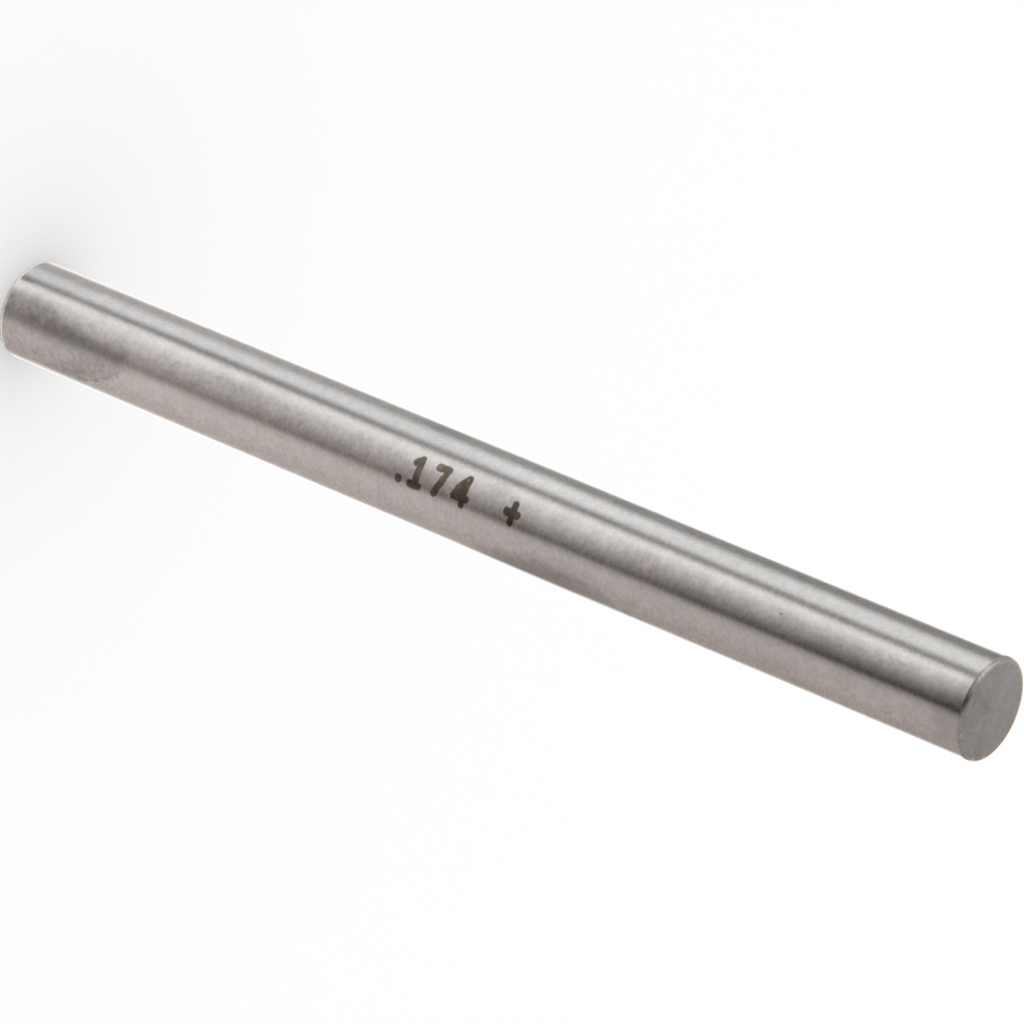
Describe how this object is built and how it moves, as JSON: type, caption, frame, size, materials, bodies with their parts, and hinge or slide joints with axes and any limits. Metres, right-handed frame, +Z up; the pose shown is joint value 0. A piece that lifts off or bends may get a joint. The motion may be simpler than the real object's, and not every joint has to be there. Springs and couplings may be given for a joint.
{
  "type": "pin gauge",
  "caption": "Plain cylindrical steel pin, ground round with flat ends and lightly rounded rims, for checking the size of a hole.",
  "frame": {"origin": "middle of the lower end face, on which the pin stands", "axes": "+Z up along the pin's axis; X and Y are alike on the solid, and the marked side faces -Y"},
  "size_m": [0.0044, 0.0044, 0.0508],
  "materials": {
    "ground_steel": "ground and lapped, with fine lines round the pin"
  },
  "bodies": {
    "root": {"gauge_pin": "ground_steel"}
  },
  "joints": []
}
